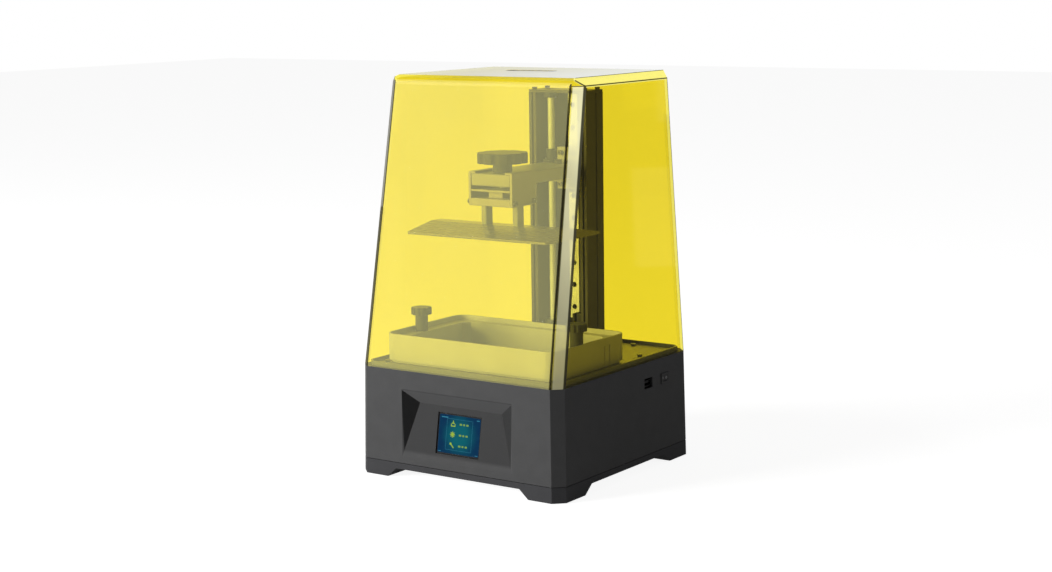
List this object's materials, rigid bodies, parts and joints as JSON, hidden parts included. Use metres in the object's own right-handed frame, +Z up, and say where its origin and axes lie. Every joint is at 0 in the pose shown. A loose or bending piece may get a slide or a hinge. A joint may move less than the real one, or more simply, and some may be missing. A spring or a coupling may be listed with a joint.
{
  "type": "resin printer",
  "caption": "Desktop resin printer: dark metal base with a sloping screen recess, amber lift-off cover, screw-driven arm carrying a build plate over a shallow resin vat",
  "frame": {"origin": "on the table under the middle of the base", "axes": "+Z up, -Y to the front (screen side), +X to the right seen from the front"},
  "size_m": [0.262, 0.26, 0.425],
  "materials": {
    "alloy": "bead blasted and anodised",
    "alloy_dark": "dark grey anodised",
    "base_metal": "dark grey powder coat, fine texture",
    "black_plastic": "black moulded plastic",
    "board_green": "solder mask over glass fibre",
    "board_white": "white solder mask",
    "brass": "plain brass",
    "bright_steel": "ground steel",
    "cable_black": "cable sheath",
    "clear_glass": "tempered glass",
    "cover_tint": "amber transparent acrylic",
    "deck_paint": "dark grey powder coat",
    "film_clear": "thin fluoropolymer film",
    "hood_plastic": "black moulded plastic",
    "lcd_black": "black liquid crystal panel",
    "lens_clear": "clear moulded lenses",
    "motor_steel": "black laminated steel",
    "rubber": "soft black rubber",
    "screen_dark": "display behind a glossy cover",
    "screw_steel": "dark zinc plated steel",
    "sink_alloy": "plain extruded alloy",
    "tray_metal": "dark grey powder coat"
  },
  "bodies": {
    "base": {"base_shell": "base_metal", "bottom_tray": "tray_metal", "column_cap": "alloy_dark", "column_foot": "alloy_dark", "column_screws": "screw_steel", "dc_jack": "black_plastic", "deck_plate": "deck_paint", "deck_screws": "screw_steel", "fan_frame": "black_plastic", "fan_screws": "screw_steel", "heat_sink": "sink_alloy", "hood_screws": "screw_steel", "lcd_glass": "clear_glass", "lcd_panel": "lcd_black", "led_board": "board_white", "lens_array": "lens_clear", "light_hood": "hood_plastic", "limit_sensor": "black_plastic", "linear_rail": "bright_steel", "mainboard": "board_green", "motor_screws": "screw_steel", "rail_screws": "screw_steel", "rubber_feet": "rubber", "screen_glass": "screen_dark", "screen_module": "black_plastic", "standoffs": "brass", "stepper_motor": "motor_steel", "switch_housing": "black_plastic", "top_bearing": "black_plastic", "tray_screws": "screw_steel", "usb_port": "bright_steel", "wiring": "cable_black", "z_column": "alloy_dark"},
    "cover": {"uv_cover": "cover_tint"},
    "z_carriage": {"rail_carriage": "bright_steel", "z_bracket": "alloy_dark", "bracket_screws": "screw_steel", "z_arm": "alloy_dark", "arm_screws": "screw_steel", "lead_nut": "black_plastic", "nut_screws": "screw_steel", "yoke_plates": "alloy_dark"},
    "spindle": {"lead_screw": "bright_steel", "shaft_coupler": "alloy", "motor_shaft": "bright_steel"},
    "platform": {"clamp_block": "alloy_dark", "lock_screws": "screw_steel", "platform_posts": "alloy", "platform_screws": "screw_steel", "build_plate": "alloy"},
    "clamp": {"clamp_knob": "black_plastic", "clamp_screw": "bright_steel"},
    "vat": {"vat_body": "alloy", "film_frame": "alloy", "release_film": "film_clear", "film_screws": "screw_steel"},
    "left_thumbscrew": {"thumbscrew_left": "black_plastic"},
    "right_thumbscrew": {"thumbscrew_right": "black_plastic"},
    "rocker": {"power_rocker": "black_plastic"},
    "fan": {"fan_rotor": "black_plastic"}
  },
  "joints": [
    {"name": "cover_lift", "type": "slide", "parent": "base", "child": "cover", "axis": [0, 0, 1], "range_m": [0, 0.32]},
    {"name": "carriage_slide", "type": "slide", "parent": "base", "child": "z_carriage", "axis": [0, 0, 1], "range_m": [-0.1335, 0.044]},
    {"name": "screw_spin", "type": "hinge", "parent": "base", "child": "spindle", "pos_m": [-0.0175, 0.08, 0.2], "axis": [0, 0, 1], "range_deg": [-6030, 1990]},
    {"name": "platform_tilt", "type": "hinge", "parent": "z_carriage", "child": "platform", "pos_m": [0, -0.0395, 0.2925], "axis": [1, 0, 0], "range_deg": [-1, 1]},
    {"name": "knob_turn", "type": "hinge", "parent": "z_carriage", "child": "clamp", "pos_m": [0, -0.038, 0.338], "axis": [0, 0, 1], "range_deg": [0, 1080]},
    {"name": "vat_lift", "type": "slide", "parent": "base", "child": "vat", "axis": [0, 0, 1], "range_m": [0, 0.06]},
    {"name": "left_thumbscrew_turn", "type": "hinge", "parent": "vat", "child": "left_thumbscrew", "pos_m": [-0.1011, -0.053, 0.168], "axis": [0, 0, 1], "range_deg": [0, 1800]},
    {"name": "right_thumbscrew_turn", "type": "hinge", "parent": "vat", "child": "right_thumbscrew", "pos_m": [0.1011, -0.053, 0.168], "axis": [0, 0, 1], "range_deg": [0, 1800]},
    {"name": "switch_rock", "type": "hinge", "parent": "base", "child": "rocker", "pos_m": [0.1269, 0.0765, 0.095], "axis": [0, 0, 1], "range_deg": [0, 14]},
    {"name": "fan_spin", "type": "hinge", "parent": "base", "child": "fan", "pos_m": [0.06, 0.115, 0.058], "axis": [0, 1, 0], "continuous": true}
  ],
  "couplings": [
    {"joint": "screw_spin", "follows": "carriage_slide", "rad_per_m": 785.4}
  ]
}
